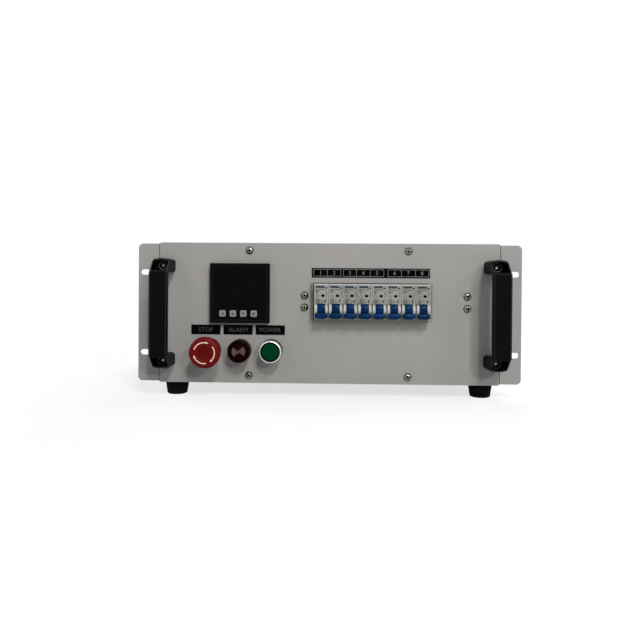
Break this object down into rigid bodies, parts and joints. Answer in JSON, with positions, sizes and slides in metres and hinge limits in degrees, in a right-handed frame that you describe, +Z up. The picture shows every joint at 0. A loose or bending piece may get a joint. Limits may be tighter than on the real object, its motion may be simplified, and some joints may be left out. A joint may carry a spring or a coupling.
{
  "type": "dc load bank",
  "caption": "Rack-mounting resistive load bank with a meter, emergency stop, buzzer, push button and a row of breakers; two rear fans blow out the heat.",
  "frame": {"origin": "on the ground plane under the feet, in the middle of the whole object's box", "axes": "+Z is up, the front panel faces -Y and +X is to the right of a person in front"},
  "size_m": [0.4826, 0.504, 0.1954],
  "materials": {
    "panel_paint": "light warm grey powder coat",
    "case_paint": "light warm grey powder coat",
    "zinc_steel": "zinc-plated sheet",
    "handle_black": "fine-grained black plastic",
    "screw_nickel": "nickel-plated steel",
    "foot_rubber": "matt black rubber",
    "meter_black": "fine-grained black plastic",
    "meter_pane": "smoked clear front",
    "key_grey": "light grey keys",
    "stop_red": "red plastic",
    "switch_black": "black plastic",
    "stem_grey": "grey plastic",
    "buzzer_maroon": "dark maroon plastic",
    "bright_chrome": "polished chrome plate",
    "button_green": "green plastic",
    "legend_black": "black film",
    "breaker_grey": "light grey moulding",
    "lever_blue": "blue plastic",
    "edging_white": "pale flexible strip",
    "resistor_ribbon": "dull ribbon winding on a tube",
    "end_ceramic": "unglazed ceramic",
    "rod_steel": "plain steel rod and nuts",
    "fan_black": "black glass-filled plastic",
    "terminal_red": "red insulating moulding",
    "terminal_black": "black insulating moulding",
    "brass": "bare brass",
    "contactor_grey": "dark grey moulding"
  },
  "bodies": {
    "case": {"front_panel": "panel_paint", "blanking_plate": "panel_paint", "chassis_tray": "case_paint", "top_cover": "case_paint", "rear_panel": "case_paint", "left_rack_ear": "case_paint", "right_rack_ear": "case_paint", "crossbars": "zinc_steel", "rail_brackets": "zinc_steel", "din_rail": "zinc_steel", "resistor_supports": "zinc_steel", "left_handle": "handle_black", "right_handle": "handle_black", "handle_screws": "screw_nickel", "front_screws": "screw_nickel", "case_screws": "screw_nickel", "rubber_feet": "foot_rubber", "meter_case": "meter_black", "meter_clamps": "meter_black", "meter_window": "meter_pane", "estop_collar": "switch_black", "estop_contact_block": "switch_black", "power_contact_block": "switch_black", "control_ring_nuts": "switch_black", "power_button_sleeve": "switch_black", "buzzer": "buzzer_maroon", "power_button_bezel": "bright_chrome", "fan_guards": "bright_chrome", "legend_plates": "legend_black", "breaker_legend": "legend_black", "breaker_cases": "breaker_grey", "cutout_edging": "edging_white", "resistor_tubes": "resistor_ribbon", "resistor_end_caps": "end_ceramic", "resistor_rods": "rod_steel", "fan_frames": "fan_black", "positive_terminal_base": "terminal_red", "negative_terminal_base": "terminal_black", "mains_inlet": "terminal_black", "terminal_studs": "brass", "inlet_pins": "brass", "shunt": "brass", "contactor": "contactor_grey"},
    "estop_plunger": {"estop_stem": "stem_grey"},
    "estop_button": {"estop_head": "stop_red"},
    "power_button": {"power_button_cap": "button_green"},
    "key_1": {"meter_key_1": "key_grey"},
    "key_2": {"meter_key_2": "key_grey"},
    "key_3": {"meter_key_3": "key_grey"},
    "key_4": {"meter_key_4": "key_grey"},
    "lever_1": {"breaker_lever_1": "lever_blue"},
    "lever_2": {"breaker_lever_2": "lever_blue"},
    "lever_3": {"breaker_lever_3": "lever_blue"},
    "lever_4": {"breaker_lever_4": "lever_blue"},
    "lever_5": {"breaker_lever_5": "lever_blue"},
    "lever_6": {"breaker_lever_6": "lever_blue"},
    "lever_7": {"breaker_lever_7": "lever_blue"},
    "lever_8": {"breaker_lever_8": "lever_blue"},
    "left_fan_rotor": {"fan_rotor_left": "fan_black"},
    "right_fan_rotor": {"fan_rotor_right": "fan_black"}
  },
  "joints": [
    {"name": "estop_push", "type": "slide", "parent": "case", "child": "estop_plunger", "axis": [0, 1, 0], "range_m": [0, 0.005]},
    {"name": "estop_twist", "type": "hinge", "parent": "estop_plunger", "child": "estop_button", "pos_m": [-0.1503, -0.232, 0.0585], "axis": [0, 1, 0], "range_deg": [0, 45], "stiffness_Nm_per_rad": 0.02},
    {"name": "power_button_press", "type": "slide", "parent": "case", "child": "power_button", "axis": [0, 1, 0], "range_m": [0, 0.004], "stiffness_N_per_m": 600},
    {"name": "meter_key_1_press", "type": "slide", "parent": "case", "child": "key_1", "axis": [0, 1, 0], "range_m": [0, 0.0008], "stiffness_N_per_m": 600},
    {"name": "meter_key_2_press", "type": "slide", "parent": "case", "child": "key_2", "axis": [0, 1, 0], "range_m": [0, 0.0008], "stiffness_N_per_m": 600},
    {"name": "meter_key_3_press", "type": "slide", "parent": "case", "child": "key_3", "axis": [0, 1, 0], "range_m": [0, 0.0008], "stiffness_N_per_m": 600},
    {"name": "meter_key_4_press", "type": "slide", "parent": "case", "child": "key_4", "axis": [0, 1, 0], "range_m": [0, 0.0008], "stiffness_N_per_m": 600},
    {"name": "breaker_lever_1_switch", "type": "hinge", "parent": "case", "child": "lever_1", "pos_m": [-0.00927, -0.218, 0.1112], "axis": [-1, 0, 0], "range_deg": [0, 76]},
    {"name": "breaker_lever_2_switch", "type": "hinge", "parent": "case", "child": "lever_2", "pos_m": [0.00873, -0.218, 0.1112], "axis": [-1, 0, 0], "range_deg": [0, 76]},
    {"name": "breaker_lever_3_switch", "type": "hinge", "parent": "case", "child": "lever_3", "pos_m": [0.02673, -0.218, 0.1112], "axis": [-1, 0, 0], "range_deg": [0, 76]},
    {"name": "breaker_lever_4_switch", "type": "hinge", "parent": "case", "child": "lever_4", "pos_m": [0.04473, -0.218, 0.1112], "axis": [-1, 0, 0], "range_deg": [0, 76]},
    {"name": "breaker_lever_5_switch", "type": "hinge", "parent": "case", "child": "lever_5", "pos_m": [0.06273, -0.218, 0.1112], "axis": [-1, 0, 0], "range_deg": [0, 76]},
    {"name": "breaker_lever_6_switch", "type": "hinge", "parent": "case", "child": "lever_6", "pos_m": [0.08073, -0.218, 0.1112], "axis": [-1, 0, 0], "range_deg": [0, 76]},
    {"name": "breaker_lever_7_switch", "type": "hinge", "parent": "case", "child": "lever_7", "pos_m": [0.09873, -0.218, 0.1112], "axis": [-1, 0, 0], "range_deg": [0, 76]},
    {"name": "breaker_lever_8_switch", "type": "hinge", "parent": "case", "child": "lever_8", "pos_m": [0.11673, -0.218, 0.1112], "axis": [-1, 0, 0], "range_deg": [0, 76]},
    {"name": "left_fan_spin", "type": "hinge", "parent": "case", "child": "left_fan_rotor", "pos_m": [-0.134, 0.191, 0.1055], "axis": [0, 1, 0], "continuous": true},
    {"name": "right_fan_spin", "type": "hinge", "parent": "case", "child": "right_fan_rotor", "pos_m": [-0.002, 0.191, 0.1055], "axis": [0, 1, 0], "continuous": true}
  ]
}
